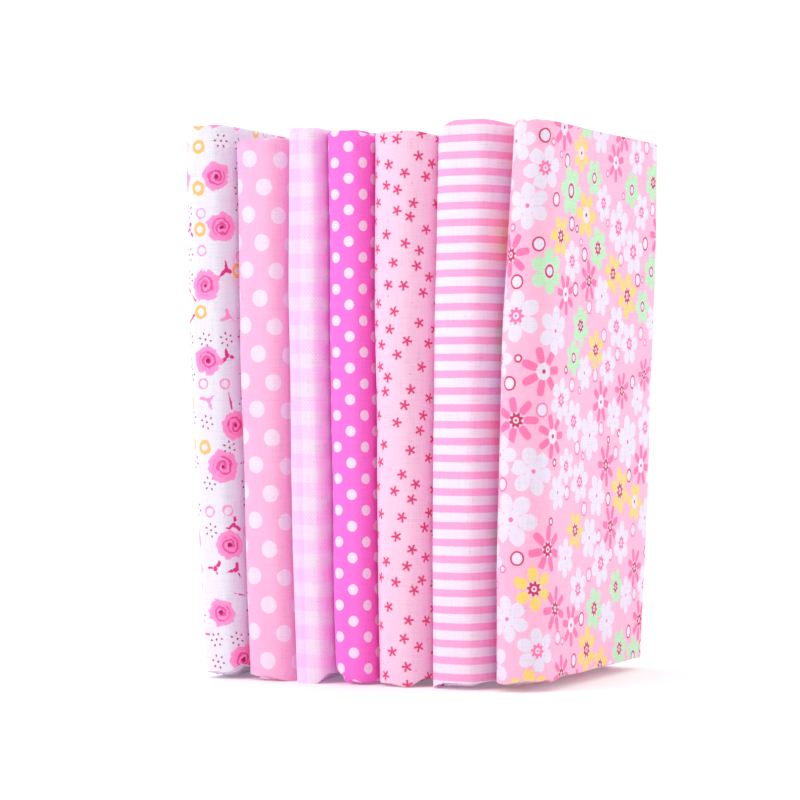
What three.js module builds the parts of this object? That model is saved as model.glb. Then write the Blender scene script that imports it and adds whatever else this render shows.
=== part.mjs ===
// A row of seven cotton squares, each folded flat and stood on edge with its fold to the front, like
// books on a shelf. A square of 500 x 500 mm is folded in four over its height and then halved three
// times across, so a packet is one long ribbon that runs back and forth in eight plies.
// Units are millimetres. X runs along the row, the folds face -Y, Z is up.
import * as THREE from "three";

const CLEARANCE = 0.3; // between neighbouring squares
const PLY_COUNT = 8;
const PLY_GAP = 0.28; // gap between two plies, as a share of one ply
const FRONT_STEPS = 6; // facets round a front fold
const BACK_STEPS = 4; // facets round a back fold
const BACK_REACH = 7; // how far a back fold of unit half width reaches, in mm
const LEG_MIDDLES = [0.5]; // extra stations along a straight ply, as shares of its length

// Heights of the rings of vertices as shares of a square's height, and how thick the plies are there:
// the edge folds at the top and bottom are narrower than the loose middle.
const RINGS = [
  { share: 0, plump: 0.78 },
  { share: 0.03, plump: 1 },
  { share: 0.27, plump: 1 },
  { share: 0.5, plump: 1 },
  { share: 0.73, plump: 1 },
  { share: 0.97, plump: 1 },
  { share: 1, plump: 0.62 },
];

// Where one square stops and the next starts, seen from the front: X at the foot, at middle height and
// at the top of the row. The row fans out upwards.
const SEAM_HEIGHTS = [0, 62.5, 125];
const SEAMS = [
  { foot: -40.3, middle: -44.2, top: -45.7 },
  { foot: -28.9, middle: -30.9, top: -32.9 },
  { foot: -16.8, middle: -18.3, top: -18.5 },
  { foot: -6.8, middle: -8.1, top: -9.2 },
  { foot: 3.1, middle: 2.5, top: 2.0 },
  { foot: 16.7, middle: 16.6, top: 17.6 },
  { foot: 31.5, middle: 32.7, top: 36.1 },
  { foot: 44.3, middle: 45.0, top: 46.1 },
];
const BACK_SPREAD = { foot: 0.995, middle: 1.036, top: 1.043 }; // the fan at the back, against the front
const ROW_DEPTH = 68;
const WAVE = { height: 0.3, along: 92, up: 210 }; // soft waves in the faces where squares press

// One row for each square, from left to right. nose is the depth of the rounded front fold and boxy is
// the power of its curve (2 is an ellipse), front and back are where it starts and ends behind the row's
// front line. The top edge drops towards its left and right faces, and the front fold's foot lifts
// at its left, middle and right. Behind the fold liftKept is the share of the right lift that stays.
const COLUMNS = [
  "name", "colour", "nose", "boxy", "front", "back", "height",
  "dropLeft", "dropRight", "liftLeft", "liftMiddle", "liftRight", "liftKept",
];
const SQUARES = [
  ["rose_square", 0xf1edf8, 7.8, 2.7, 0.4, 67.2, 127.6, 2.6, 0.5, 1.1, 1.2, 2.9, 0],
  ["large_dot_square", 0xffbbe1, 7.2, 3.0, 0.6, 66.6, 124.2, 1.4, 0.5, 1.0, 0.3, 0.0, 0],
  ["gingham_square", 0xf8dcfc, 7.2, 3.0, 0.0, 67.6, 126.1, 0.4, 1.0, 0.0, 0.0, 2.4, 0],
  ["small_dot_square", 0xff78e0, 7.4, 3.1, 0.5, 66.9, 125.0, 0.2, 1.4, 2.6, 0.6, 0.5, 0],
  ["star_square", 0xfdd9f0, 8.4, 2.6, 0.3, 67.8, 124.1, 0.1, 0.9, 0.8, 0.1, 2.0, 0],
  ["stripe_square", 0xfcc8e6, 9.4, 3.0, 0.0, 68.0, 125.9, 2.2, 1.0, 0.0, 1.0, 1.7, 0],
  ["flower_square", 0xfdbfdd, 8.8, 2.6, 0.2, 68.0, 125.5, 0.4, 0.4, 1.9, 0.8, 2.6, 1],
].map((row) => Object.fromEntries(COLUMNS.map((column, i) => [column, row[i]])));

const EDGE_REACH = 0.75; // how far in from a face a drop or lift fades out, as a share of half the width
const LIFT_DEPTH = 26; // how far behind the front a lift of the foot fades to what is kept, in mm
const FREE_ENDS = { ply5: 1.8, ply6: 3.4 }; // the two cut ends stop short of the back by this

const smooth = (x) => THREE.MathUtils.smoothstep(x, 0, 1);

// Across a packet, c runs from -1 at the left face to 1 at the right face.
const PLY = 2 / (PLY_COUNT + (PLY_COUNT - 1) * PLY_GAP);
const PITCH = PLY * (1 + PLY_GAP);
const plyCentre = (ply) => -1 + PLY / 2 + (ply - 1) * PITCH;

// A parabola through the three values that a table row has for foot, middle and top.
function overHeight(row, z) {
  const [low, middle, high] = SEAM_HEIGHTS;
  const u = (z - middle) / ((high - low) / 2);
  return row.middle + ((row.top - row.foot) / 2) * u + ((row.top + row.foot) / 2 - row.middle) * u * u;
}

// X of seam i at depth y behind the row's front line and height z.
function seamX(i, y, z) {
  const spread = THREE.MathUtils.lerp(1, overHeight(BACK_SPREAD, z), y / ROW_DEPTH);
  const phase = 1.7 * i;
  const along = Math.sin((2 * Math.PI * y) / WAVE.along + phase);
  const up = Math.cos((2 * Math.PI * z) / WAVE.up + phase);
  return overHeight(SEAMS[i], z) * spread + WAVE.height * along * up;
}

// The ribbon's stations as { left, right } pairs of section points { c, y }, left and right of the way
// that it runs. y is the depth behind the packet's own front.
function ribbon(square) {
  const depth = square.back - square.front;
  const stations = [];
  const add = (place) => stations.push({ left: place(1), right: place(-1) });

  const frontFold = (from, to) => {
    const turn = from > to ? 1 : -1;
    const radius = Math.abs(plyCentre(from));
    for (let k = 0; k <= FRONT_STEPS; k++) {
      const angle = turn * Math.PI * (0.5 - k / FRONT_STEPS);
      add((side) => {
        const r = radius + (turn * side * PLY) / 2;
        const power = 2 / square.boxy;
        const across = Math.sign(angle) * Math.abs(Math.sin(angle)) ** power;
        const forward = Math.max(Math.cos(angle), 0) ** power;
        return { c: r * across, y: square.nose * (1 - r * forward) };
      });
    }
  };
  const backFold = (from, to, straightEnd) => {
    const turn = to > from ? 1 : -1;
    const centre = (plyCentre(from) + plyCentre(to)) / 2;
    const radius = Math.abs(plyCentre(from) - plyCentre(to)) / 2;
    for (let k = 0; k <= BACK_STEPS; k++) {
      const angle = turn * Math.PI * (k / BACK_STEPS - 0.5);
      add((side) => {
        const r = radius + (turn * side * PLY) / 2;
        return { c: centre + r * Math.sin(angle), y: straightEnd + BACK_REACH * r * Math.cos(angle) };
      });
    }
  };
  const leg = (ply, from, to, shares = LEG_MIDDLES) => {
    const toFront = to < from ? 1 : -1;
    for (const share of shares)
      add((side) => ({
        c: plyCentre(ply) + (toFront * side * PLY) / 2,
        y: THREE.MathUtils.lerp(from, to, share),
      }));
  };

  const outerTurn = (plyCentre(4) - plyCentre(1)) / 2 + PLY / 2;
  const innerTurn = PITCH / 2 + PLY / 2;
  const nested = depth - BACK_REACH * outerTurn; // where the two nested back folds start
  const single = depth - BACK_REACH * innerTurn - 0.5; // where the back fold of plies 7 and 8 starts
  const { nose } = square;

  leg(6, depth - FREE_ENDS.ply6, nose, [0, ...LEG_MIDDLES]);
  frontFold(6, 3);
  leg(3, nose, nested);
  backFold(3, 2, nested);
  leg(2, nested, nose);
  frontFold(2, 7);
  leg(7, nose, single);
  backFold(7, 8, single);
  leg(8, single, nose);
  frontFold(8, 1);
  leg(1, nose, nested);
  backFold(1, 4, nested);
  leg(4, nested, nose);
  frontFold(4, 5);
  leg(5, nose, depth - FREE_ENDS.ply5, [...LEG_MIDDLES, 1]);
  return stations;
}

// How much of an edge's drop or lift is felt at c, on the left (-1) or right (1) side.
const nearFace = (c, side) => smooth((side * c - (1 - EDGE_REACH)) / EDGE_REACH) ** 1.5;

function footOf(square, c, y) {
  const left = square.liftLeft * nearFace(c, -1);
  const right = square.liftRight * nearFace(c, 1);
  const middle = square.liftMiddle * (1 - nearFace(c, -1) - nearFace(c, 1)) * smooth(1 - y / square.nose);
  const behind = smooth(y / LIFT_DEPTH);
  return left * (1 - behind) + right * THREE.MathUtils.lerp(1, square.liftKept, behind) + middle;
}

function topOf(square, c) {
  return square.height - square.dropLeft * nearFace(c, -1) - square.dropRight * nearFace(c, 1);
}

// The place in the row of a section point at a share of the height.
function place(square, index, { c, y }, share) {
  const z = THREE.MathUtils.lerp(footOf(square, c, y), topOf(square, c), share);
  const rowY = square.front + y;
  const low = seamX(index, rowY, z) + CLEARANCE / 2;
  const high = seamX(index + 1, rowY, z) - CLEARANCE / 2;
  return [THREE.MathUtils.lerp(low, high, (c + 1) / 2), rowY - ROW_DEPTH / 2, z];
}

// A station's two points with the ply drawn in to a share of its thickness.
function drawnIn({ left, right }, plump) {
  const mix = (a, b) => ({
    c: THREE.MathUtils.lerp((a.c + b.c) / 2, a.c, plump),
    y: THREE.MathUtils.lerp((a.y + b.y) / 2, a.y, plump),
  });
  return { left: mix(left, right), right: mix(right, left) };
}

// One packet: the ribbon's section carried up through the rings, closed over its top, foot and ends.
function packetGeometry(square, index) {
  const stations = ribbon(square);
  const positions = [];
  const indices = [];
  for (const { share, plump } of RINGS)
    for (const station of stations) {
      const { left, right } = drawnIn(station, plump);
      positions.push(...place(square, index, left, share), ...place(square, index, right, share));
    }
  const corner = (ring, station, side) => (ring * stations.length + station) * 2 + side;
  const quad = (a, b, c, d) => indices.push(a, b, c, a, c, d);
  const lastRing = RINGS.length - 1;
  const lastStation = stations.length - 1;
  const LEFT = 0;
  const RIGHT = 1;
  for (let s = 0; s < lastStation; s++) {
    for (let r = 0; r < lastRing; r++) {
      quad(
        corner(r, s + 1, LEFT), corner(r, s, LEFT),
        corner(r + 1, s, LEFT), corner(r + 1, s + 1, LEFT),
      );
      quad(
        corner(r, s, RIGHT), corner(r, s + 1, RIGHT),
        corner(r + 1, s + 1, RIGHT), corner(r + 1, s, RIGHT),
      );
    }
    quad(corner(0, s, LEFT), corner(0, s + 1, LEFT), corner(0, s + 1, RIGHT), corner(0, s, RIGHT));
    quad(
      corner(lastRing, s, RIGHT), corner(lastRing, s + 1, RIGHT),
      corner(lastRing, s + 1, LEFT), corner(lastRing, s, LEFT),
    );
  }
  for (let r = 0; r < lastRing; r++) {
    quad(corner(r, 0, LEFT), corner(r, 0, RIGHT), corner(r + 1, 0, RIGHT), corner(r + 1, 0, LEFT));
    quad(
      corner(r, lastStation, RIGHT), corner(r, lastStation, LEFT),
      corner(r + 1, lastStation, LEFT), corner(r + 1, lastStation, RIGHT),
    );
  }
  const geometry = new THREE.BufferGeometry();
  geometry.setAttribute("position", new THREE.Float32BufferAttribute(positions, 3));
  geometry.setIndex(indices);
  geometry.computeVertexNormals();
  return geometry;
}

const group = new THREE.Group();
SQUARES.forEach((square, index) => {
  const cotton = new THREE.MeshStandardMaterial({ color: square.colour, roughness: 0.92, metalness: 0 });
  const mesh = new THREE.Mesh(packetGeometry(square, index), cotton);
  mesh.name = square.name;
  group.add(mesh);
});

export default group;
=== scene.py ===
"""A row of seven folded cotton squares, stood on edge like books.

Each square is one sheet of cloth, 500 x 500 mm. It is folded in four over its height and then halved
three times across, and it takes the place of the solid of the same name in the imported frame.
"""

import math
from collections import namedtuple

import bpy
import numpy as np
from bpy.props import FloatProperty, FloatVectorProperty, PointerProperty
from mathutils import Color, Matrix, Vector


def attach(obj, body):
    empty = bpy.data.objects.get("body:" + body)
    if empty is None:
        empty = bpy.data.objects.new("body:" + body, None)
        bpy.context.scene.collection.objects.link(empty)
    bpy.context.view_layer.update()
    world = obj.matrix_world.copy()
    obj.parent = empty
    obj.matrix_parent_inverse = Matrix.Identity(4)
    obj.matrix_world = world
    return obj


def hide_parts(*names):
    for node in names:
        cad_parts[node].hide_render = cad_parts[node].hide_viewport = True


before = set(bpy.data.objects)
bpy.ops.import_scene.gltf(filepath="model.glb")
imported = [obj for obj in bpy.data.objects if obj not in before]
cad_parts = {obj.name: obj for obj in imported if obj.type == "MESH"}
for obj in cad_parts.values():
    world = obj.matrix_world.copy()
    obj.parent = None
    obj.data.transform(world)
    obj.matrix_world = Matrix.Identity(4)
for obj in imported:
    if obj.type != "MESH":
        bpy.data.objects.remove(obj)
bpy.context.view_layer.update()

bl_info = {
    "name": "Folded fabric squares",
    "version": (1, 0, 0),
    "blender": (4, 5, 0),
    "location": "3D View > Sidebar > Fabric squares",
    "description": "A row of seven printed cotton squares, each folded from one sheet of cloth",
    "category": "Object",
}

# The tables of the folds are in millimetres, like a cutting list.
MM = 0.001

CLEARANCE = 0.3  # between neighbouring squares
PLY_COUNT = 8
PLY_GAP = 0.28  # gap between two plies, as a share of one ply
BACK_REACH = 7.0  # how far a back fold of unit half width reaches
ROW_DEPTH = 68.0
ROW_MIDDLE = 62.5  # half the height that the seams are given over
FREE_ENDS = {5: 1.8, 6: 3.4}  # the two cut ends stop short of the back by this
EDGE_REACH = 0.75  # how far in from a face a drop or lift fades out, as a share of half the width
LIFT_DEPTH = 26.0  # how far behind the front a lift of the foot fades to what is kept
LIFT_SLANT = 0.05  # how fast a lift on the right widens with the depth behind the front, in c for a mm
SINGLE_FOLD_SHORT = 0.5  # the single fold at the back ends this much before the nested ones
SETTLED = 0.45  # how far the folds on top sink in waves, most in the middle of the packet
SETTLED_WAVE = 19.0
RAGGED = 0.12  # how uneven the cut edges at the foot are
RAGGED_WAVE = 7.3
TROUGH_FADE = (28.0, 20.0)  # a trough ends this far behind the front, and fades out over the second

# Where one square stops and the next starts, seen from the front: X at the foot, at middle height and
# at the top of the row.
Heights = namedtuple("Heights", "foot middle top")
SEAMS = [
    Heights(-40.3, -44.2, -45.7),
    Heights(-28.9, -30.9, -32.9),
    Heights(-16.8, -18.3, -18.5),
    Heights(-6.8, -8.1, -9.2),
    Heights(3.1, 2.5, 2.0),
    Heights(16.7, 16.6, 17.6),
    Heights(31.5, 32.7, 36.1),
    Heights(44.3, 45.0, 46.1),
]
BACK_SPREAD = Heights(0.995, 1.036, 1.043)  # the fan at the back, against the front

# Soft waves in the faces where squares press: height, length along the row's depth, length up it.
WAVES = [(0.3, 92.0, 210.0), (0.1, 37.0, 61.0)]

# Uneven tension in the front folds, as waves in and out: height, length across, length up.
RIPPLES = [(0.1, 13.0, 47.0), (0.07, 7.6, 29.0), (0.05, 23.0, 83.0)]

# How a packet is folded. nose is the depth of the rounded front fold and boxy the power of its curve,
# front and back are where it starts and ends. The top edge drops towards its faces, and the foot lifts
# at its left, middle and right; lift_kept is the share of the right lift that stays behind the fold.
Packet = namedtuple(
    "Packet",
    "nose boxy front back height drop_left drop_right lift_left lift_middle lift_right lift_kept",
)
PACKETS = {
    "rose_square": Packet(7.8, 2.7, 0.4, 67.2, 127.6, 2.6, 0.5, 1.1, 1.2, 2.9, 0),
    "large_dot_square": Packet(7.2, 3.0, 0.6, 66.6, 124.2, 1.4, 0.5, 1.0, 0.3, 0.0, 0),
    "gingham_square": Packet(7.2, 3.0, 0.0, 67.6, 126.1, 0.4, 1.0, 0.0, 0.0, 2.4, 0),
    "small_dot_square": Packet(7.4, 3.1, 0.5, 66.9, 125.0, 0.2, 1.4, 2.6, 0.6, 0.5, 0),
    "star_square": Packet(8.4, 2.6, 0.3, 67.8, 124.1, 0.1, 0.9, 0.8, 0.1, 2.0, 0),
    "stripe_square": Packet(9.4, 3.0, 0.0, 68.0, 125.9, 2.2, 1.0, 0.0, 1.0, 1.7, 0),
    "flower_square": Packet(8.8, 2.6, 0.2, 68.0, 125.5, 0.4, 0.4, 1.9, 0.8, 2.6, 1),
}

# Places where the foot of the front fold is lifted off the floor: across the cloth from the front
# line (to the right is positive), half width, lift.
HEM_LIFTS = {
    "rose_square": [(-3.0, 3.0, 0.4), (4.5, 2.5, 0.5)],
    "large_dot_square": [(-1.0, 3.5, 0.9)],
    "small_dot_square": [(-4.2, 3.4, 1.9)],
    "star_square": [(-2.0, 2.2, 0.6)],
    "stripe_square": [(-1.0, 5.0, 0.6)],
    "flower_square": [(13.5, 3.0, -0.8), (17.5, 2.5, 0.7)],
}

# Soft troughs in the front folds: across from the packet's middle, height, half width, half height and
# depth.
TROUGHS = {
    "rose_square": [(6.0, 80.0, 2.0, 90.0, 1.4), (-1.0, 30.0, 3.5, 18.0, 0.25)],
    "large_dot_square": [(6.4, 70.0, 1.7, 110.0, 1.8), (-2.5, 100.0, 2.5, 16.0, 0.2)],
    "gingham_square": [(5.6, 70.0, 1.2, 110.0, 1.5), (-2.0, 18.0, 3.0, 10.0, 0.2)],
    "small_dot_square": [(5.6, 66.0, 1.4, 110.0, 1.6), (-2.0, 84.0, 2.5, 20.0, 0.25)],
    "star_square": [(5.8, 76.0, 2.6, 90.0, 1.3), (1.4, 30.0, 2.4, 20.0, 0.25)],
    "stripe_square": [(8.0, 66.0, 2.6, 130.0, 7.0), (-5.0, 60.0, 3.0, 30.0, 0.3)],
    "flower_square": [(-3.2, 104.0, 2.4, 16.0, 0.3), (2.0, 44.0, 3.0, 26.0, 0.25)],
}

# Across a packet, c runs from -1 at the left face to 1 at the right face.
PLY = 2 / (PLY_COUNT + (PLY_COUNT - 1) * PLY_GAP)
PITCH = PLY * (1 + PLY_GAP)

# A ply holds four layers of cloth. s runs across it from -1 to 1, and 1 is the outside of the packet.
LAYER_OFFSETS = (0.82, 0.27, -0.27, -0.82)
LAYER_THICKNESS = 0.36
FOOT_BEND = (LAYER_OFFSETS[2] - LAYER_OFFSETS[3]) / 2  # radius of the fold at the foot
CROWN = 1.15  # how tall the fold on top of a ply is, against half its width

LEG_STEPS = 10
FRONT_STEPS = {8: 30, 2: 14, 6: 10, 4: 8}  # by the ply that runs into the fold
BACK_STEPS = 8
HEIGHT_STEPS = 26
CROWN_STEPS = 6


def smooth(x):
    x = np.clip(x, 0, 1)
    return x * x * (3 - 2 * x)


def lerp(a, b, share):
    return a + (b - a) * share


def ply_centre(ply):
    return -1 + PLY / 2 + (ply - 1) * PITCH


def over_height(row, z):
    """A parabola through a row's values for foot, middle and top."""
    u = z / ROW_MIDDLE - 1
    return row.middle + (row.top - row.foot) / 2 * u + ((row.top + row.foot) / 2 - row.middle) * u * u


def seam_x(i, y, z):
    """X of seam i at depth y behind the row's front line and height z."""
    spread = lerp(1, over_height(BACK_SPREAD, z), y / ROW_DEPTH)
    x = over_height(SEAMS[i], z) * spread
    for height, along, up in WAVES:
        x = x + height * np.sin(2 * np.pi * y / along + 1.7 * i) * np.cos(2 * np.pi * z / up + 1.7 * i)
    return x


def ribbon(packet):
    """The stations along the cloth, as rows of c and y in the middle of the ply and of their half widths.

    A layer at offset s lies at the middle plus s half widths.
    """
    stations = []

    def front_fold(start, end):
        turn = 1 if start > end else -1
        radius = abs(ply_centre(start))
        power = 2 / packet.boxy
        steps = FRONT_STEPS[start]
        for k in range(steps + 1):
            angle = turn * math.pi * (0.5 - k / steps)
            across = math.copysign(abs(math.sin(angle)) ** power, angle)
            forward = max(math.cos(angle), 0) ** power
            half = turn * PLY / 2
            stations.append(
                (
                    radius * across,
                    packet.nose * (1 - radius * forward),
                    half * across,
                    -packet.nose * half * forward,
                )
            )

    def back_fold(start, end, straight_end):
        turn = 1 if end > start else -1
        centre = (ply_centre(start) + ply_centre(end)) / 2
        radius = abs(ply_centre(start) - ply_centre(end)) / 2
        for k in range(BACK_STEPS + 1):
            angle = turn * math.pi * (k / BACK_STEPS - 0.5)
            half = turn * PLY / 2
            stations.append(
                (
                    centre + radius * math.sin(angle),
                    straight_end + BACK_REACH * radius * math.cos(angle),
                    half * math.sin(angle),
                    BACK_REACH * half * math.cos(angle),
                )
            )

    def leg(ply, start, end, first=1, last=LEG_STEPS - 1):
        to_front = 1 if end < start else -1
        for k in range(first, last + 1):
            stations.append((ply_centre(ply), lerp(start, end, k / LEG_STEPS), to_front * PLY / 2, 0.0))

    depth = packet.back - packet.front
    nose = packet.nose
    outer_turn = (ply_centre(4) - ply_centre(1)) / 2 + PLY / 2
    inner_turn = PITCH / 2 + PLY / 2
    nested = depth - BACK_REACH * outer_turn
    single = depth - BACK_REACH * inner_turn - SINGLE_FOLD_SHORT

    leg(6, depth - FREE_ENDS[6], nose, first=0)
    front_fold(6, 3)
    leg(3, nose, nested)
    back_fold(3, 2, nested)
    leg(2, nested, nose)
    front_fold(2, 7)
    leg(7, nose, single)
    back_fold(7, 8, single)
    leg(8, single, nose)
    front_line = len(stations) + FRONT_STEPS[8] // 2
    front_fold(8, 1)
    leg(1, nose, nested)
    back_fold(1, 4, nested)
    leg(4, nested, nose)
    front_fold(4, 5)
    leg(5, nose, depth - FREE_ENDS[5], last=LEG_STEPS)
    return np.array(stations), front_line


def rows():
    """The way up and down through the four layers, from the cut edge inside to the cut edge outside.

    Each row is the offset across the ply, the share of the height, the rise above it, the way that the
    printed side faces (across and up), and whether the layer's foot is a fold.
    """
    outside, second, third, inside = LAYER_OFFSETS
    foot_centre = (third + inside) / 2
    shares = 0.5 - 0.5 * np.cos(np.pi * np.arange(HEIGHT_STEPS + 1) / HEIGHT_STEPS)
    shares = lerp(shares, np.linspace(0, 1, HEIGHT_STEPS + 1), 0.3)
    bends = np.pi * np.arange(1, CROWN_STEPS) / CROWN_STEPS
    turns = [(math.cos(bend), math.sin(bend)) for bend in bends]
    way = [(second, share, 0, -1, 0, 0) for share in shares]
    way += [(second * cos, 1, CROWN * second * sin, -cos, -sin, 1) for cos, sin in turns]
    way += [(third, share, 0, 1, 0, 1) for share in shares[::-1]]
    way += [
        (foot_centre + FOOT_BEND * cos, 0, -CROWN * FOOT_BEND * sin, cos, -sin, 1) for cos, sin in turns
    ]
    way += [(inside, share, 0, -1, 0, 1) for share in shares]
    way += [(-outside * cos, 1, CROWN * outside * sin, -cos, sin, 0) for cos, sin in turns]
    way += [(outside, share, 0, 1, 0, 0) for share in shares[::-1]]
    return np.array(way)


def near_face(c, side):
    """How much of an edge's drop or lift is felt at c, on the left (-1) or right (1) side."""
    return smooth((side * c - (1 - EDGE_REACH)) / EDGE_REACH) ** 1.5


def foot_of(packet, c, y):
    slanted = c + LIFT_SLANT * np.minimum(y, LIFT_DEPTH)
    left = packet.lift_left * near_face(c, -1)
    right = packet.lift_right * lerp(near_face(slanted, 1), (1 + c) / 2, packet.lift_kept)
    middle = packet.lift_middle * (1 - near_face(c, -1) - near_face(slanted, 1)) * smooth(1 - y / packet.nose)
    behind = smooth(y / LIFT_DEPTH)
    return left * (1 - behind) + right * lerp(1, packet.lift_kept, behind) + middle


def top_of(packet, c):
    return packet.height - packet.drop_left * near_face(c, -1) - packet.drop_right * near_face(c, 1)


def hem_lift(name, across):
    """The lift of the front fold's foot at a distance across the cloth from the front line."""
    lift = np.zeros_like(across)
    for centre, width, height in HEM_LIFTS.get(name, []):
        lift += height * smooth(1 - np.abs(across - centre) / (2 * width))
    return lift


def trough(name, x, y, z, middle):
    """How far the cloth is pushed in at a place on the front."""
    push = np.zeros_like(x)
    for across, height, width, reach, depth in TROUGHS[name]:
        push += depth * np.exp(-(((x - middle - across) / width) ** 2) - ((z - height) / reach) ** 2)
    for height, across, up in RIPPLES:
        push += height * (1 + np.sin(2 * np.pi * (x / across + z / up) + 0.4 * middle))
    end, fade = TROUGH_FADE
    return push * smooth((end - y) / fade)


def folded_points(name, index, packet, stations, front_line, way, side):
    """Points of the sheet's printed side (1) or wrong side (-1), rows by stations, and the cloth's own
    coordinates there: across from the front line and up from the foot of the outermost layer."""
    middle_seams = [over_height(SEAMS[i], ROW_MIDDLE) for i in (index, index + 1)]
    half_ply = (middle_seams[1] - middle_seams[0]) / 2 * PLY / 2
    offset, share, rise, faces_across, faces_up, folded = (column[:, None] for column in way.T)
    offset = offset + side * faces_across * LAYER_THICKNESS / 2
    rise = rise + side * faces_up * LAYER_THICKNESS / 2
    c = stations[:, 0] + offset * stations[:, 2]
    y = stations[:, 1] + offset * stations[:, 3]

    def spot(c, y, z):
        row_y = packet.front + y
        low = seam_x(index, row_y, z) + CLEARANCE / 2
        high = seam_x(index + 1, row_y, z) - CLEARANCE / 2
        return lerp(low, high, (c + 1) / 2), row_y

    # Distance along the outermost layer at middle height, from the front line, positive to the right.
    outer_c = stations[:, 0] + LAYER_OFFSETS[0] * stations[:, 2]
    outer_y = stations[:, 1] + LAYER_OFFSETS[0] * stations[:, 3]
    outer_x, outer_row_y = spot(outer_c, outer_y, np.full_like(outer_c, ROW_MIDDLE))
    steps = np.hypot(np.diff(outer_x), np.diff(outer_row_y))
    along = np.concatenate([[0], np.cumsum(steps)])
    along = along[front_line] - along

    lift = hem_lift(name, along)
    settled = SETTLED * (1 - np.abs(stations[:, 0])) * (1 + np.sin(along / SETTLED_WAVE + index))
    crown = top_of(packet, c) - CROWN * half_ply - settled
    ragged = (1 - folded) * RAGGED * (1 + np.sin(along / RAGGED_WAVE + 2.1 * index + offset))
    bend_depth = (CROWN * FOOT_BEND + LAYER_THICKNESS / 2) * half_ply
    foot = foot_of(packet, c, y) + lift + ragged + folded * bend_depth
    z = lerp(foot, crown, share) + rise * half_ply
    x, row_y = spot(c, y, z)
    middle = (seam_x(index, 0, z) + seam_x(index + 1, 0, z)) / 2
    row_y = row_y + trough(name, x, y, z, middle)

    # The cloth's own coordinates, measured on the folded sheet itself.
    lengths = np.hypot(np.diff(x, axis=1), np.diff(row_y, axis=1))
    across = np.concatenate([np.zeros((len(way), 1)), np.cumsum(lengths, axis=1)], axis=1)
    across = across[:, front_line][:, None] - across
    heights = np.abs(np.diff(z[::-1], axis=0))
    up = np.concatenate([z[-1:], z[-1:] + np.cumsum(heights, axis=0)])[::-1]
    points = np.stack([x, row_y - ROW_DEPTH / 2, z], axis=-1) * MM
    cloth = np.stack([across, up], axis=-1) * MM
    return points, cloth


def sheet_mesh(name, index):
    """The mesh of one folded square: its printed side, its wrong side and the cut edges between them."""
    packet = PACKETS[name]
    stations, front_line = ribbon(packet)
    way = rows()
    printed, cloth = folded_points(name, index, packet, stations, front_line, way, 1)
    wrong, _ = folded_points(name, index, packet, stations, front_line, way, -1)
    height, width = printed.shape[:2]
    count = height * width
    grid = np.arange(count).reshape(height, width)
    here, right = grid[:-1, :-1].ravel(), grid[:-1, 1:].ravel()
    above, corner = grid[1:, :-1].ravel(), grid[1:, 1:].ravel()
    faces = [
        np.stack([here, above, corner, right], axis=1),
        np.stack([here, right, corner, above], axis=1) + count,
    ]
    for edge in (grid[0, :], grid[::-1, 0], grid[-1, ::-1], grid[:, -1]):
        start, end = edge[:-1], edge[1:]
        faces.append(np.stack([start, end, end + count, start + count], axis=1))
    faces = np.concatenate(faces)

    mesh = bpy.data.meshes.new(name.replace("square", "cloth"))
    points = np.concatenate([printed.reshape(-1, 3), wrong.reshape(-1, 3)])
    mesh.from_pydata(points.tolist(), [], faces.tolist())
    corners = np.tile(cloth.reshape(-1, 2), (2, 1))[faces.ravel()]
    mesh.uv_layers.new(name="cloth").data.foreach_set("uv", corners.ravel())
    wrong_side = mesh.attributes.new("wrong_side", "FLOAT", "POINT")
    wrong_side.data.foreach_set("value", np.repeat([0.0, 1.0], count))
    mesh.shade_smooth()
    mesh.set_sharp_from_angle(angle=math.radians(50))
    mesh.validate()
    return mesh


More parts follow.
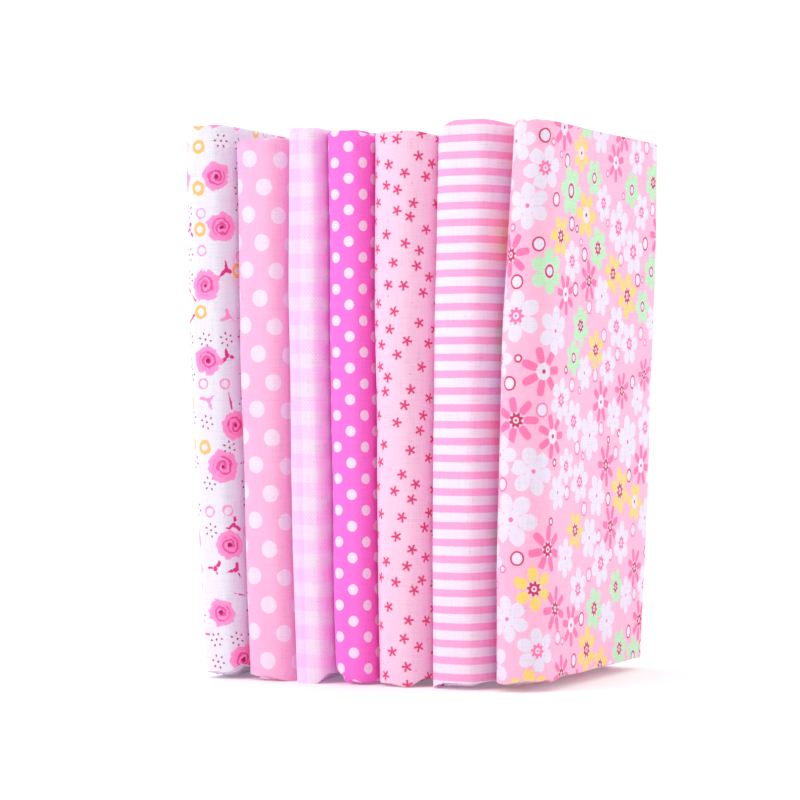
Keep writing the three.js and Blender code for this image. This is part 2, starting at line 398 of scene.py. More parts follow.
class Dye:
    """A material under way. Its methods lay nodes, and take and give sockets or plain numbers."""

    def __init__(self, name):
        self.material = bpy.data.materials.new(name)
        self.material.use_nodes = True
        self.tree = self.material.node_tree
        self.tree.nodes.clear()

    def node(self, kind, inputs=(), **settings):
        node = self.tree.nodes.new(kind)
        for key, value in settings.items():
            setattr(node, key, value)
        for key, value in dict(inputs).items():
            self.feed(node.inputs[key], value)
        return node

    def feed(self, socket, value):
        if isinstance(value, bpy.types.NodeSocket):
            self.tree.links.new(value, socket)
        else:
            socket.default_value = value

    def calc(self, operation, *values, clamp=False):
        node = self.node("ShaderNodeMath", enumerate(values), operation=operation, use_clamp=clamp)
        return node.outputs[0]

    def plus(self, a, b, clamp=False):
        return self.calc("ADD", a, b, clamp=clamp)

    def minus(self, a, b, clamp=False):
        return self.calc("SUBTRACT", a, b, clamp=clamp)

    def times(self, *factors):
        product = factors[0]
        for factor in factors[1:]:
            product = self.calc("MULTIPLY", product, factor)
        return product

    def over(self, a, b):
        return self.calc("DIVIDE", a, b)

    def vector(self, operation, *values):
        names = {"SCALE": (0, "Scale")}.get(operation, (0, 1, 2))
        node = self.node("ShaderNodeVectorMath", zip(names, values), operation=operation)
        return node.outputs["Value" if operation in ("LENGTH", "DISTANCE") else "Vector"]

    def parts(self, vector):
        return self.node("ShaderNodeSeparateXYZ", {0: vector}).outputs[:2]

    def turned(self, vector, angle):
        node = self.node(
            "ShaderNodeVectorRotate", {"Vector": vector, "Angle": angle}, rotation_type="Z_AXIS"
        )
        return node.outputs[0]

    def noise(self, vector, size, detail=2.0):
        node = self.node(
            "ShaderNodeTexNoise",
            {"Vector": vector, "Scale": 1 / size, "Detail": detail},
            noise_dimensions="2D",
        )
        return node.outputs["Fac"]

    def blend(self, share, under, over, mode="MIX"):
        node = self.node("ShaderNodeMix", data_type="RGBA", blend_type=mode)
        self.feed(node.inputs[0], share)
        self.feed(node.inputs[6], under)
        self.feed(node.inputs[7], over)
        return node.outputs[2]

    def ink(self, distance, soft=0.00016):
        """1 where the distance beyond an outline is negative, with a soft edge of that width."""
        return self.minus(0.5, self.over(distance, soft), clamp=True)

    def between(self, value, low, high):
        above = self.calc("GREATER_THAN", value, low)
        below = self.calc("LESS_THAN", value, high)
        return self.times(above, below)

    def pick(self, chance, choices):
        """A number or colour from a list of (upper limit of the chance, value)."""
        value = choices[-1][1]
        for limit, choice in reversed(choices[:-1]):
            share = self.calc("LESS_THAN", chance, limit)
            if isinstance(choice, (int, float)):
                value = self.plus(self.times(share, choice), self.times(self.minus(1.0, share), value))
            else:
                value = self.blend(share, value, choice)
        return value


Motif = namedtuple("Motif", "radius angle chance other middle")


class Scatter:
    """Places for motifs, strewn over the cloth on a jittered grid."""

    def __init__(self, dye, spacing, jitter, drift=(0.0, 0.0, 0.0)):
        self.dye = dye
        self.spacing = spacing
        self.jitter = jitter
        self.drift = drift

    def grid(self, cloth, feature):
        """The grid's coordinates of a place on the cloth, and the node that finds the nearest motif."""
        place = self.dye.vector("ADD", self.dye.vector("SCALE", cloth, 1 / self.spacing), self.drift)
        inputs = {"Vector": place, "Scale": 1.0, "Randomness": self.jitter}
        return place, self.dye.node(
            "ShaderNodeTexVoronoi", inputs, voronoi_dimensions="2D", feature=feature
        )

    def room(self, cloth):
        """The radius that the nearest motif has to itself."""
        return self.dye.times(self.grid(cloth, "N_SPHERE_RADIUS")[1].outputs["Radius"], self.spacing)

    def distance(self, cloth):
        return self.dye.times(self.grid(cloth, "F1")[1].outputs["Distance"], self.spacing)

    def nearest(self, cloth, turn=math.tau):
        """The nearest motif, in polar coordinates turned by chance, with two random numbers of its own
        and where its middle is on the cloth."""
        dye = self.dye
        place, near = self.grid(cloth, "F1")
        chances = dye.node("ShaderNodeSeparateColor", {0: near.outputs["Color"]}).outputs
        away = dye.vector("SCALE", dye.vector("SUBTRACT", place, near.outputs["Position"]), self.spacing)
        middle = dye.vector("SUBTRACT", cloth, away)
        away = dye.turned(away, dye.times(chances[2], turn))
        x, y = dye.parts(away)
        return Motif(dye.vector("LENGTH", away), dye.calc("ARCTAN2", y, x), *chances[:2], middle)


def petals(dye, motif, count, reach, length, width, blunt=2.0):
    """Distance beyond the outline of a ring of petals: reach is from the middle to a petal's middle,
    length and width are a petal's half sizes, and blunt is 2 for ovals and more for square ends."""
    sector = dye.over(math.pi, count)
    bent = dye.calc("WRAP", motif.angle, sector, dye.times(sector, -1.0))
    x = dye.minus(dye.times(motif.radius, dye.calc("COSINE", bent)), reach)
    y = dye.times(motif.radius, dye.calc("SINE", bent))
    x = dye.calc("POWER", dye.calc("ABSOLUTE", dye.over(x, length)), blunt)
    y = dye.calc("POWER", dye.calc("ABSOLUTE", dye.over(y, width)), blunt)
    out = dye.calc("POWER", dye.plus(x, y), 1 / blunt)
    return dye.times(dye.minus(out, 1.0), width)


def disc(dye, motif, radius):
    return dye.minus(motif.radius, radius)


def ring(dye, motif, radius, stroke):
    """Distance beyond the outline of a ring with that middle radius and stroke."""
    away = dye.calc("ABSOLUTE", dye.minus(motif.radius, radius))
    return dye.minus(away, dye.times(stroke, 0.5))


def hex_colour(code):
    """Linear red, green and blue of a web colour."""
    colour = Color(int(code[i : i + 2], 16) / 255 for i in (1, 3, 5))
    return tuple(colour.from_srgb_to_scene_linear())


def colour_property(name, code):
    return FloatVectorProperty(name=name, description=f"{name} of the print", default=hex_colour(code),
                               subtype="COLOR", size=3, min=0.0, max=1.0)


def length_property(name, description, default):
    return FloatProperty(name=name, description=description, default=default, min=0.0,
                         unit="LENGTH", precision=5)


def share_property(name, description, default):
    return FloatProperty(name=name, description=description, default=default, min=0.0, max=1.0,
                         subtype="FACTOR")


def power_property(name, description, default):
    return FloatProperty(name=name, description=description, default=default, min=0.0, unit="POWER")


def opaque(colour):
    return (*colour, 1.0)


class ClothSettings(bpy.types.PropertyGroup):
    """The cotton that all seven squares are cut from."""

    yarn: length_property("Yarn", "Distance from one yarn to the next", 0.00042)
    slub: length_property("Slub", "Length of a thick stretch of yarn", 0.007)
    weave_depth: length_property("Weave depth", "Height of the yarns in the surface", 0.00008)
    fade: share_property("Fade", "How pale the wrong side is", 0.5)
    roughness: share_property("Roughness", "Roughness of the cotton", 0.88)
    sheen: share_property("Sheen", "Soft shine of the fibres", 0.03)


class RosePrintSettings(bpy.types.PropertyGroup):
    """Roses, rings and dots on white."""

    ground: colour_property("Ground", "#E9ECF9")
    petal: colour_property("Petal", "#FF9CD8")
    stroke: colour_property("Stroke", "#E03893")
    honey: colour_property("Honey ring", "#F9C878")
    ring: colour_property("Pink ring", "#FFA3D8")
    berry: colour_property("Berry", "#A8346F")
    heart: colour_property("Heart", "#B41A66")
    rose_spacing: length_property("Rose spacing", "Grid that the roses stand on", 0.0142)
    small_spacing: length_property("Small spacing", "Grid that the small motifs stand on", 0.0049)


class DotPrintSettings(bpy.types.PropertyGroup):
    """Round dots on a staggered grid."""

    ground: colour_property("Ground", "#FFBBE1")
    dot: colour_property("Dot", "#F8E3F6")
    width: length_property("Dot width", "Width of a dot", 0.0039)
    across: length_property("Across", "From dot to dot in a row", 0.00779)
    rows: length_property("Rows", "From row to row", 0.006333)


class SmallDotPrintSettings(bpy.types.PropertyGroup):
    """Small round dots on a square grid that stands on its corner."""

    ground: colour_property("Ground", "#FF78E0")
    dot: colour_property("Dot", "#F9E4F8")
    width: length_property("Dot width", "Width of a dot", 0.0024)
    across: length_property("Across", "From dot to dot in a row", 0.007)
    rows: length_property("Rows", "From row to row", 0.00355)


class GinghamSettings(bpy.types.PropertyGroup):
    """Woven checks of two yarn colours."""

    ground: colour_property("White yarn", "#F1E3F7")
    check: colour_property("Lilac yarn", "#FBC8F8")
    pitch: length_property("Pitch", "From one band to the next of its colour", 0.00645)
    hatch: length_property("Hatch", "From one slanting line to the next where the yarns mix", 0.00085)


class StarPrintSettings(bpy.types.PropertyGroup):
    """Little five-armed stars, strewn."""

    ground: colour_property("Ground", "#F9D3EC")
    star: colour_property("Star", "#E63F7C")
    speck: colour_property("Speck", "#D8A8C4")
    size: length_property("Size", "Radius of a star", 0.00118)
    arm: length_property("Arm", "Width of an arm", 0.00048)
    spacing: length_property("Spacing", "Grid that the stars stand on", 0.0048)


class StripePrintSettings(bpy.types.PropertyGroup):
    """Level stripes."""

    ground: colour_property("Ground", "#F9EAFB")
    stripe: colour_property("Stripe", "#FFAEDF")
    pitch: length_property("Pitch", "From stripe to stripe", 0.003716)
    width: length_property("Width", "Width of a stripe", 0.00166)


class FlowerPrintSettings(bpy.types.PropertyGroup):
    """Small flowers and rings, packed close."""

    ground: colour_property("Ground", "#FDBFDD")
    white: colour_property("White petal", "#E9E6F8")
    pink: colour_property("Pink petal", "#FF80B6")
    mint: colour_property("Mint petal", "#BDEFC5")
    yellow: colour_property("Yellow petal", "#FBDD7C")
    berry: colour_property("Berry centre", "#D03A68")
    spacing: length_property("Spacing", "Grid that the flowers stand on", 0.0102)


class StageSettings(bpy.types.PropertyGroup):
    """Floor, lights and camera."""

    floor: FloatVectorProperty(
        name="Floor", description="Colour of the floor", default=(0.99, 0.99, 0.99), subtype="COLOR", size=3
    )
    bright_room: FloatProperty(
        name="Bright room",
        description="Light of the white room above and behind the row",
        default=1.1,
        min=0.0,
    )
    dim_room: FloatVectorProperty(
        name="Dim room",
        description="Light of the room in front of the row, with the blush of the pink cloth",
        default=(0.28, 0.07, 0.09),
        subtype="COLOR",
        size=3,
        min=0.0,
    )
    front_power: power_property("Front light", "Power of the soft light in front", 13.2)
    side_power: power_property("Side light", "Power of the soft light at the side", 5.3)
    lens: FloatProperty(name="Lens", description="Focal length in millimetres", default=126.4, min=1.0)


class FabricSquares(bpy.types.PropertyGroup):
    """All settings of the row."""

    cloth: PointerProperty(type=ClothSettings)
    rose: PointerProperty(type=RosePrintSettings)
    large_dot: PointerProperty(type=DotPrintSettings)
    gingham: PointerProperty(type=GinghamSettings)
    small_dot: PointerProperty(type=SmallDotPrintSettings)
    star: PointerProperty(type=StarPrintSettings)
    stripe: PointerProperty(type=StripePrintSettings)
    flower: PointerProperty(type=FlowerPrintSettings)
    stage: PointerProperty(type=StageSettings)


def strips(dye, value, pitch, width):
    """Distance beyond the edge of a stripe of that width, repeated at a pitch."""
    off = dye.calc("PINGPONG", value, pitch / 2)
    return dye.minus(off, width / 2)


def dot_lattice(dye, cloth, inks):
    """Staggered rows of dots."""
    x, y = dye.parts(cloth)
    row = dye.calc("ROUND", dye.over(y, inks.rows))
    shift = dye.times(dye.calc("MODULO", dye.calc("ABSOLUTE", row), 2.0), inks.across / 2)
    x = dye.calc("PINGPONG", dye.minus(x, shift), inks.across / 2)
    y = dye.minus(y, dye.times(row, inks.rows))
    away = dye.calc("SQRT", dye.plus(dye.times(x, x), dye.times(y, y)))
    mask = dye.ink(dye.minus(away, inks.width / 2))
    return dye.blend(mask, opaque(inks.ground), opaque(inks.dot))


def gingham_weave(dye, cloth, inks):
    """Checks. Where a lilac band crosses a white one, the two yarns show in turn as a fine slanting line."""
    x, y = dye.parts(cloth)
    bands = [dye.ink(strips(dye, value, inks.pitch, inks.pitch / 2), soft=0.0003) for value in (x, y)]
    slant = dye.times(dye.plus(x, dye.times(y, 0.8)), math.tau / inks.hatch)
    hatch = dye.times(dye.calc("SINE", slant), 0.3)
    mixed = dye.calc("ABSOLUTE", dye.minus(*bands))
    strength = dye.times(dye.plus(*bands), 0.5)
    strength = dye.plus(strength, dye.times(mixed, hatch))
    return dye.blend(strength, opaque(inks.ground), opaque(inks.check))


def stripe_print(dye, cloth, inks):
    x, y = dye.parts(cloth)
    mask = dye.ink(strips(dye, y, inks.pitch, inks.width), soft=0.0002)
    return dye.blend(mask, opaque(inks.ground), opaque(inks.stripe))


def star_print(dye, cloth, inks):
    star = Scatter(dye, inks.spacing, 0.5).nearest(dye.turned(cloth, 0.4), turn=1.1)
    sector = math.pi / 5
    bent = dye.calc("WRAP", dye.plus(star.angle, math.pi / 2 - 0.95), sector, -sector)
    x = dye.times(star.radius, dye.calc("COSINE", bent))
    y = dye.calc("ABSOLUTE", dye.times(star.radius, dye.calc("SINE", bent)))
    over_end = dye.minus(x, inks.size)
    over_side = dye.minus(y, inks.arm / 2)
    mask = dye.ink(dye.calc("MAXIMUM", over_end, over_side), soft=0.0002)
    speck = Scatter(dye, inks.spacing * 1.1, 0.9, drift=(3.4, 7.1, 0.0)).nearest(cloth)
    specks = dye.times(dye.ink(disc(dye, speck, 0.00025)), dye.calc("LESS_THAN", speck.chance, 0.3), 0.5)
    colour = dye.blend(specks, opaque(inks.ground), opaque(inks.speck))
    return dye.blend(mask, colour, opaque(inks.star))


SMALL_CLEARANCE = 0.0046  # from the middle of a small motif to the middle of a rose
COIL_PITCH = 0.00115  # from one turn of a rose's coil to the next


def rose_print(dye, cloth, inks):
    colour = opaque(inks.ground)
    rough = dye.minus(dye.noise(cloth, 0.0016), 0.5)
    roses = Scatter(dye, inks.rose_spacing, 0.5)
    rose = roses.nearest(cloth)

    # Small motifs, left out where they would run into a rose.
    small = Scatter(dye, inks.small_spacing, 0.45, drift=(11.3, 5.2, 0.0)).nearest(cloth)
    clear = dye.calc("GREATER_THAN", roses.distance(small.middle), SMALL_CLEARANCE)
    ringed = dye.times(rough, 0.0006)
    honey = dye.times(
        dye.ink(dye.plus(ring(dye, small, 0.00125, 0.00085), ringed)),
        dye.calc("LESS_THAN", small.chance, 0.13),
        clear,
    )
    colour = dye.blend(honey, colour, opaque(inks.honey))
    thin = dye.times(
        dye.ink(dye.plus(ring(dye, small, 0.0011, 0.00042), ringed)),
        dye.between(small.chance, 0.13, 0.36),
        clear,
    )
    colour = dye.blend(thin, colour, opaque(inks.ring))
    dots = dye.calc("MINIMUM", petals(dye, small, 6, 0.0014, 0.0003, 0.0002), disc(dye, small, 0.00026))
    berries = dye.times(dye.ink(dots), dye.between(small.chance, 0.36, 0.66), clear)
    colour = dye.blend(berries, colour, opaque(inks.berry))
    bud = dye.calc("MINIMUM", petals(dye, small, 3, 0.0011, 0.0009, 0.00034), disc(dye, small, 0.0006))
    bud = dye.plus(bud, dye.times(rough, 0.0012))
    sprig = dye.times(dye.ink(bud), dye.between(small.chance, 0.66, 0.84), clear)
    leaf = dye.pick(small.other, [(0.5, opaque(inks.petal)), (1.0, opaque(inks.stroke))])
    colour = dye.blend(sprig, colour, leaf)
    twig = dye.plus(petals(dye, small, 2, 0.001, 0.0011, 0.00018), dye.times(rough, 0.0006))
    twigs = dye.times(dye.ink(twig), dye.between(small.chance, 0.84, 1.0), clear)
    colour = dye.blend(twigs, colour, opaque(inks.stroke))

    # A rose is a ragged round of petals with a coil of darker strokes in it.
    size = dye.plus(0.0031, dye.times(rose.other, 0.0006))
    wave = dye.times(dye.calc("SINE", dye.times(rose.angle, 5.0)), 0.00012)
    edge = dye.plus(dye.plus(disc(dye, rose, size), wave), dye.times(rough, 0.002))
    colour = dye.blend(dye.ink(edge, soft=0.0003), colour, opaque(inks.petal))
    ragged = dye.plus(rose.radius, dye.times(rough, 0.0014))
    coil = dye.minus(dye.over(ragged, COIL_PITCH), dye.over(rose.angle, math.tau))
    coil = dye.calc("PINGPONG", coil, 0.5)
    line = dye.times(dye.minus(coil, 0.25), COIL_PITCH)
    inner = dye.minus(rose.radius, dye.times(size, 0.66))
    strokes = dye.ink(dye.calc("MAXIMUM", line, inner), soft=0.0003)
    worn = dye.minus(1.0, dye.times(dye.noise(cloth, 0.0006), 0.4))
    colour = dye.blend(dye.times(strokes, worn), colour, opaque(inks.stroke))
    heart = dye.ink(dye.plus(disc(dye, rose, 0.00055), dye.times(rough, 0.001)))
    return dye.blend(heart, colour, opaque(inks.heart))


# Kinds of flower: up to which chance, how many petals, where a petal's middle is, its half length and
# half width against the flower's radius, and whether its petals are rods with blunt ends (1) or ovals (0),
# and whether its middle has a ring (1) or a dot (0) where it has no rosette.
Flower = namedtuple("Flower", "limit petals reach length width rods ringed")
FLOWERS = {
    "white": Flower(0.48, 6.0, 0.64, 0.36, 0.3, 0.0, 0.0),
    "pink": Flower(0.74, 7.0, 0.66, 0.34, 0.17, 1.0, 0.0),
    "mint": Flower(0.86, 6.0, 0.6, 0.38, 0.3, 0.0, 1.0),
    "yellow": Flower(1.0, 6.0, 0.64, 0.34, 0.25, 0.0, 0.0),
}
ROD_BLUNTNESS = 3.2
CROWDING = 1.14  # how far a flower reaches, against the room it has to itself
BEAD = (0.00145, 0.0)  # radius, and how far it keeps from other beads
SMALL_RING = (0.00075, 0.0026)
BEAD_STROKE = 0.0004


def flower_print(dye, cloth, inks):
    colour = opaque(inks.ground)
    cloth = dye.turned(cloth, 0.5)
    flowers = Scatter(dye, inks.spacing, 0.36)

    # White beads with an outline stand in the gaps between the flowers, and small rings beside them.
    beads = Scatter(dye, inks.spacing, 0.25, drift=(0.5, 0.5, 0.0))
    rings = Scatter(dye, inks.spacing * 0.5, 0.5, drift=(0.3, 0.8, 0.0))
    for strewn, (radius, others) in ((beads, BEAD), (rings, SMALL_RING)):
        bead = strewn.nearest(cloth)
        reach = dye.times(flowers.room(bead.middle), CROWDING)
        gap = dye.minus(flowers.distance(bead.middle), reach)
        clear = dye.calc("GREATER_THAN", gap, radius * 0.7)
        if others:
            clear = dye.times(clear, dye.calc("GREATER_THAN", beads.distance(bead.middle), others))
        colour = dye.blend(dye.times(dye.ink(disc(dye, bead, radius)), clear), colour, opaque(inks.white))
        outline = dye.pick(bead.chance, [(0.55, opaque(inks.pink)), (1.0, opaque(inks.berry))])
        band = dye.ink(ring(dye, bead, radius, BEAD_STROKE))
        colour = dye.blend(dye.times(band, clear), colour, outline)

    flower = flowers.nearest(cloth)
    size = dye.times(flowers.room(cloth), CROWDING)

    def by_kind(values):
        return dye.pick(flower.chance, [(kind.limit, value) for kind, value in zip(FLOWERS.values(), values)])

    def field(name):
        return by_kind([getattr(kind, name) for kind in FLOWERS.values()])

    # A petal of the other shape is put out of reach by a whole metre.
    sizes = [dye.times(size, field(name)) for name in ("reach", "length", "width")]
    ovals = dye.plus(petals(dye, flower, field("petals"), *sizes), field("rods"))
    rods = petals(dye, flower, field("petals"), *sizes, blunt=ROD_BLUNTNESS)
    rods = dye.plus(rods, dye.minus(1.0, field("rods")))
    petal = by_kind([opaque(getattr(inks, name)) for name in FLOWERS])
    colour = dye.blend(dye.ink(dye.calc("MINIMUM", ovals, rods)), colour, petal)

    # A white middle with a rosette, a ring or a dot in it.
    def layer(colour, outline, ink, *masks):
        return dye.blend(dye.times(dye.ink(outline), *masks), colour, ink)

    def share(value):
        return dye.times(size, value)

    lined = by_kind([opaque(inks.pink), opaque(inks.berry), opaque(inks.berry), opaque(inks.berry)])
    first = dye.calc("LESS_THAN", flower.other, 0.5)
    second = dye.minus(1.0, first)
    colour = layer(colour, disc(dye, flower, share(0.34)), opaque(inks.white))
    rosette = petals(dye, flower, 8.0, share(0.24), share(0.1), share(0.07))
    rosette = dye.calc("MINIMUM", rosette, disc(dye, flower, share(0.24)))
    colour = layer(colour, rosette, lined, first)
    colour = layer(colour, disc(dye, flower, share(0.13)), opaque(inks.white), first)
    colour = layer(colour, disc(dye, flower, share(0.06)), lined, first)
    ringed = field("ringed")
    colour = layer(colour, ring(dye, flower, share(0.24), share(0.1)), lined, second, ringed)
    dotted = dye.minus(1.0, ringed)
    return layer(colour, disc(dye, flower, share(0.09)), lined, second, dotted)


def weave(dye, cloth, settings):
    """Plain weave: the height of the yarns and the shade of each thread."""
    x, y = dye.parts(cloth)
    turns = [dye.times(value, math.pi / settings.yarn) for value in (x, y)]
    ridges = [dye.calc("ABSOLUTE", dye.calc("SINE", turn)) for turn in turns]
    over = dye.times(*[dye.calc("SINE", turn) for turn in turns])
    warp_on_top = dye.calc("GREATER_THAN", over, 0.0)
    warp = dye.times(ridges[0], warp_on_top)
    weft = dye.times(ridges[1], dye.minus(1.0, warp_on_top))
    yarns = dye.plus(warp, weft)
    stretches = []
    for squeeze in ((1.0, settings.yarn / settings.slub, 1.0), (settings.yarn / settings.slub, 1.0, 1.0)):
        stretched = dye.vector("MULTIPLY", cloth, squeeze)
        stretches.append(dye.noise(stretched, settings.yarn, detail=1.0))
    slubs = dye.plus(*stretches)
    height = dye.plus(yarns, dye.times(slubs, 0.8))
    return height, yarns, slubs


# How much the yarns, their thick stretches and the dyeing darken or lighten the cloth, and what is left.
YARN_SHADE, SLUB_SHADE, DYE_SHADE, LEAST_SHADE = 0.2, 0.36, 0.05, 0.53
DYE_PATCH = 0.018
WRONG_SIDE = (0.92, 0.9, 0.93, 1.0)
PRINT_WANDER = (0.00018, -0.00014, 0.0)  # how far the print strays with the yarns
BUMP_STRENGTH = 0.6


def cotton(name, pattern, inks, settings, place=(0.0, 0.0, 0.0), tilt=0.0):
    """Woven cotton in a print. place moves the pattern on the cloth, and tilt turns it."""
    dye = Dye(name)
    cloth = dye.node("ShaderNodeUVMap", uv_map="cloth").outputs[0]
    wobble = dye.minus(dye.noise(cloth, 0.0011), 0.5)
    pattern_place = dye.turned(dye.vector("SUBTRACT", cloth, place), tilt)
    pattern_place = dye.vector("ADD", pattern_place, dye.vector("SCALE", PRINT_WANDER, wobble))
    colour = pattern(dye, pattern_place, inks)

    height, yarns, slubs = weave(dye, cloth, settings)
    uneven = dye.noise(cloth, DYE_PATCH)
    shade = dye.plus(dye.times(yarns, YARN_SHADE), dye.times(slubs, SLUB_SHADE))
    shade = dye.plus(shade, dye.times(uneven, DYE_SHADE))
    shade = dye.plus(shade, LEAST_SHADE, clamp=True)
    grey = dye.node("ShaderNodeCombineColor", {0: shade, 1: shade, 2: shade}).outputs[0]
    colour = dye.blend(1.0, colour, grey, mode="MULTIPLY")
    inside = dye.node("ShaderNodeAttribute", attribute_name="wrong_side").outputs["Fac"]
    faded = dye.times(inside, settings.fade)
    colour = dye.blend(faded, colour, WRONG_SIDE)

    relief = {"Strength": BUMP_STRENGTH, "Distance": settings.weave_depth, "Height": height}
    bump = dye.node("ShaderNodeBump", relief)
    shader = dye.node(
        "ShaderNodeBsdfPrincipled",
        {
            "Base Color": colour,
            "Roughness": settings.roughness,
            "Sheen Weight": settings.sheen,
            "Sheen Roughness": 0.5,
            "Specular IOR Level": 0.25,
            "Normal": bump.outputs[0],
        },
    )
    output = dye.node("ShaderNodeOutputMaterial")
    dye.feed(output.inputs["Surface"], shader.outputs[0])
    return dye.material


def fold_square(name, material):
    """Makes one folded square in the place of its solid."""
    index = list(PACKETS).index(name)
    piece = bpy.data.objects.new(f"{name}_cloth", sheet_mesh(name, index))
    bpy.context.scene.collection.objects.link(piece)
    piece.data.materials.append(material)
    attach(piece, "root")
    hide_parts(name)


class FoldSquare:
    """What the operators of all seven squares share."""

    bl_options = {"REGISTER", "UNDO"}
    square = ""
    slot = ""
    inks = ""
    place = (0.0, 0.0, 0.0)
    tilt = 0.0

    @staticmethod
    def pattern(dye, cloth, inks):
        raise NotImplementedError

    def execute(self, context):
        settings = context.scene.fabric_squares
        inks = getattr(settings, self.inks)
        material = cotton(self.slot, type(self).pattern, inks, settings.cloth, self.place, self.tilt)
        fold_square(self.square, material)
        return {"FINISHED"}


class FABRIC_OT_rose_square(FoldSquare, bpy.types.Operator):
    """Fold the square with roses, rings and dots on white"""

    bl_idname = "fabric.rose_square"
    bl_label = "Rose square"
    square = "rose_square"
    slot = "rose_print"
    inks = "rose"
    pattern = staticmethod(rose_print)


class FABRIC_OT_large_dot_square(FoldSquare, bpy.types.Operator):
    """Fold the pink square with large white dots"""

    bl_idname = "fabric.large_dot_square"
    bl_label = "Large dot square"
    square = "large_dot_square"
    slot = "large_dot_print"
    inks = "large_dot"
    place = (0.00472, 0.01092, 0.0)
    tilt = math.radians(2.8)
    pattern = staticmethod(dot_lattice)


class FABRIC_OT_gingham_square(FoldSquare, bpy.types.Operator):
    """Fold the square with woven lilac checks"""

    bl_idname = "fabric.gingham_square"
    bl_label = "Gingham square"
    square = "gingham_square"
    slot = "gingham_weave"
    inks = "gingham"
    place = (-0.00198, 0.0051, 0.0)
    pattern = staticmethod(gingham_weave)


class FABRIC_OT_small_dot_square(FoldSquare, bpy.types.Operator):
    """Fold the hot pink square with small dots"""

    bl_idname = "fabric.small_dot_square"
    bl_label = "Small dot square"
    square = "small_dot_square"
    slot = "small_dot_print"
    inks = "small_dot"
    place = (-0.00227, 0.00373, 0.0)
    pattern = staticmethod(dot_lattice)


class FABRIC_OT_star_square(FoldSquare, bpy.types.Operator):
    """Fold the pale square with raspberry stars"""

    bl_idname = "fabric.star_square"
    bl_label = "Star square"
    square = "star_square"
    slot = "star_print"
    inks = "star"
    pattern = staticmethod(star_print)


class FABRIC_OT_stripe_square(FoldSquare, bpy.types.Operator):
    """Fold the square with level pink stripes"""

    bl_idname = "fabric.stripe_square"
    bl_label = "Stripe square"
    square = "stripe_square"
    slot = "stripe_print"
    inks = "stripe"
    place = (0.0, 0.0028, 0.0)
    pattern = staticmethod(stripe_print)


class FABRIC_OT_flower_square(FoldSquare, bpy.types.Operator):
    """Fold the pink square with small flowers"""

    bl_idname = "fabric.flower_square"
    bl_label = "Flower square"
    square = "flower_square"
    slot = "flower_print"
    inks = "flower"
    pattern = staticmethod(flower_print)


def soft_light(name, place, target, width, power):
    """A square lamp with a soft edge that looks at a target."""
    lamp = bpy.data.lights.new(name, "AREA")
    lamp.size = width
    lamp.energy = power
    light = bpy.data.objects.new(name, lamp)
    light.location = place
    light.rotation_euler = (Vector(target) - Vector(place)).to_track_quat("-Z", "Y").to_euler()
    bpy.context.scene.collection.objects.link(light)


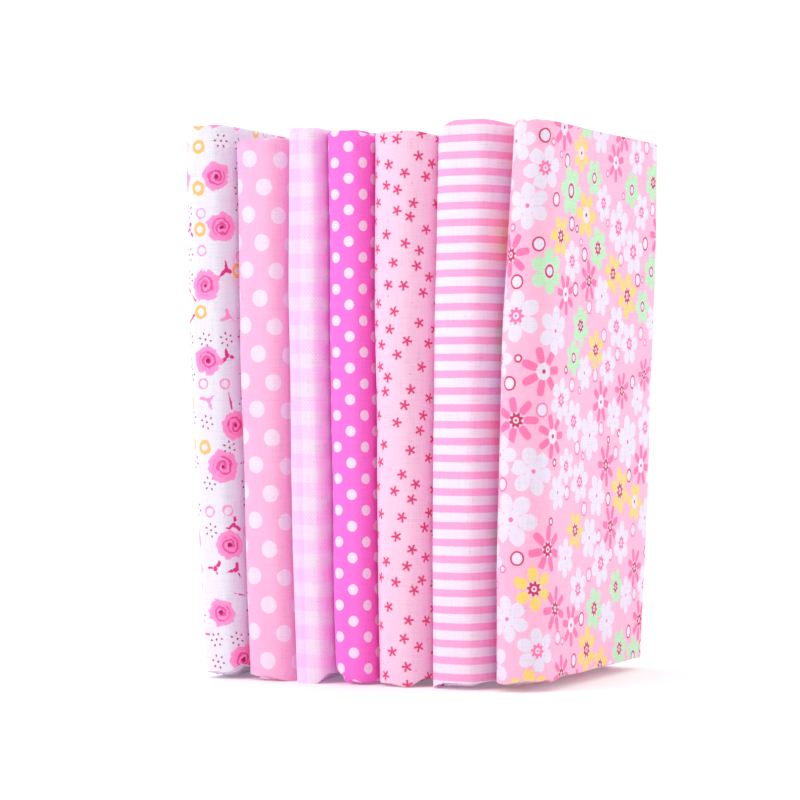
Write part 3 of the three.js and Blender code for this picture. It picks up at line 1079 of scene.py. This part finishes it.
class FABRIC_OT_stage(bpy.types.Operator):
    """Set the floor, the lights and the camera"""

    bl_idname = "fabric.stage"
    bl_label = "Stage"
    bl_options = {"REGISTER", "UNDO"}

    FLOOR_RADIUS = 4.0
    FLOOR_SIDES = 96
    CAMERA_PLACE = (0.2698, -0.6021, 0.0640)
    CAMERA_TURN = math.radians(24.5)  # from straight on towards the right
    FRONT_LIGHT = (-0.8, -1.15, 0.7)
    SIDE_LIGHT = (1.5, 0.3, 0.5)
    FRONT_LIGHT_WIDTH = 1.2
    SIDE_LIGHT_WIDTH = 1.0
    TARGET = (0.0, 0.0, 0.06)
    BRIGHT_WAY = (-0.05, 0.7, 0.7)
    DUSK = (-0.4, 0.55)  # from dim to bright, as the cosine to the bright way
    FLOOR_GLOW = 0.1  # keeps the far floor as white as the room

    def execute(self, context):
        settings = context.scene.fabric_squares.stage
        self.lay_floor(settings)
        self.light_room(context, settings)
        self.place_camera(context, settings)
        return {"FINISHED"}

    def lay_floor(self, settings):
        mesh = bpy.data.meshes.new("studio_floor")
        turns = [math.tau * k / self.FLOOR_SIDES for k in range(self.FLOOR_SIDES)]
        rim = [(self.FLOOR_RADIUS * math.cos(t), self.FLOOR_RADIUS * math.sin(t), 0.0) for t in turns]
        mesh.from_pydata(rim, [], [range(self.FLOOR_SIDES)])
        floor = bpy.data.objects.new("studio_floor", mesh)
        bpy.context.scene.collection.objects.link(floor)
        paint = bpy.data.materials.new("studio_floor")
        paint.use_nodes = True
        shader = paint.node_tree.nodes["Principled BSDF"]
        shader.inputs["Base Color"].default_value = opaque(settings.floor)
        shader.inputs["Roughness"].default_value = 0.9
        shader.inputs["Specular IOR Level"].default_value = 0.1
        shader.inputs["Emission Color"].default_value = (1.0, 1.0, 1.0, 1.0)
        shader.inputs["Emission Strength"].default_value = self.FLOOR_GLOW
        mesh.materials.append(paint)

    def light_room(self, context, settings):
        world = bpy.data.worlds.new("white_room")
        world.use_nodes = True
        nodes, links = world.node_tree.nodes, world.node_tree.links
        background = nodes["Background"]
        facing = nodes.new("ShaderNodeVectorMath")
        facing.operation = "DOT_PRODUCT"
        facing.inputs[1].default_value = self.BRIGHT_WAY
        links.new(nodes.new("ShaderNodeTexCoord").outputs["Generated"], facing.inputs[0])
        share = nodes.new("ShaderNodeMapRange")
        share.interpolation_type = "SMOOTHSTEP"
        share.inputs["From Min"].default_value = self.DUSK[0]
        share.inputs["From Max"].default_value = self.DUSK[1]
        links.new(facing.outputs["Value"], share.inputs["Value"])
        level = nodes.new("ShaderNodeMix")
        level.data_type = "RGBA"
        level.inputs[6].default_value = opaque(settings.dim_room)
        level.inputs[7].default_value = opaque([settings.bright_room] * 3)
        links.new(share.outputs[0], level.inputs[0])
        links.new(level.outputs[2], background.inputs["Color"])
        context.scene.world = world
        soft_light("front_light", self.FRONT_LIGHT, self.TARGET, self.FRONT_LIGHT_WIDTH, settings.front_power)
        soft_light("side_light", self.SIDE_LIGHT, self.TARGET, self.SIDE_LIGHT_WIDTH, settings.side_power)
        context.scene.view_settings.view_transform = "Standard"
        context.scene.cycles.diffuse_bounces = 12

    def place_camera(self, context, settings):
        camera = bpy.data.objects.new("photo_camera", bpy.data.cameras.new("photo_camera"))
        camera.data.lens = settings.lens
        camera.data.clip_start = 0.01
        camera.location = self.CAMERA_PLACE
        camera.rotation_euler = (math.pi / 2, 0.0, self.CAMERA_TURN)
        context.scene.collection.objects.link(camera)
        context.scene.camera = camera


OPERATORS = (
    FABRIC_OT_stage,
    FABRIC_OT_rose_square,
    FABRIC_OT_large_dot_square,
    FABRIC_OT_gingham_square,
    FABRIC_OT_small_dot_square,
    FABRIC_OT_star_square,
    FABRIC_OT_stripe_square,
    FABRIC_OT_flower_square,
)


class VIEW3D_PT_fabric_squares(bpy.types.Panel):
    """Lists the squares and the stage"""

    bl_label = "Folded fabric squares"
    bl_space_type = "VIEW_3D"
    bl_region_type = "UI"
    bl_category = "Fabric squares"

    def draw(self, context):
        for operator in OPERATORS:
            self.layout.operator(operator.bl_idname)


CLASSES = (
    ClothSettings,
    RosePrintSettings,
    DotPrintSettings,
    GinghamSettings,
    SmallDotPrintSettings,
    StarPrintSettings,
    StripePrintSettings,
    FlowerPrintSettings,
    StageSettings,
    FabricSquares,
    *OPERATORS,
    VIEW3D_PT_fabric_squares,
)


def register():
    for cls in CLASSES:
        bpy.utils.register_class(cls)
    bpy.types.Scene.fabric_squares = PointerProperty(type=FabricSquares)


def unregister():
    del bpy.types.Scene.fabric_squares
    for cls in reversed(CLASSES):
        bpy.utils.unregister_class(cls)


def main():
    register()
    for operator in OPERATORS:
        group, action = operator.bl_idname.split(".")
        getattr(getattr(bpy.ops, group), action)()


if __name__ == "__main__":
    main()
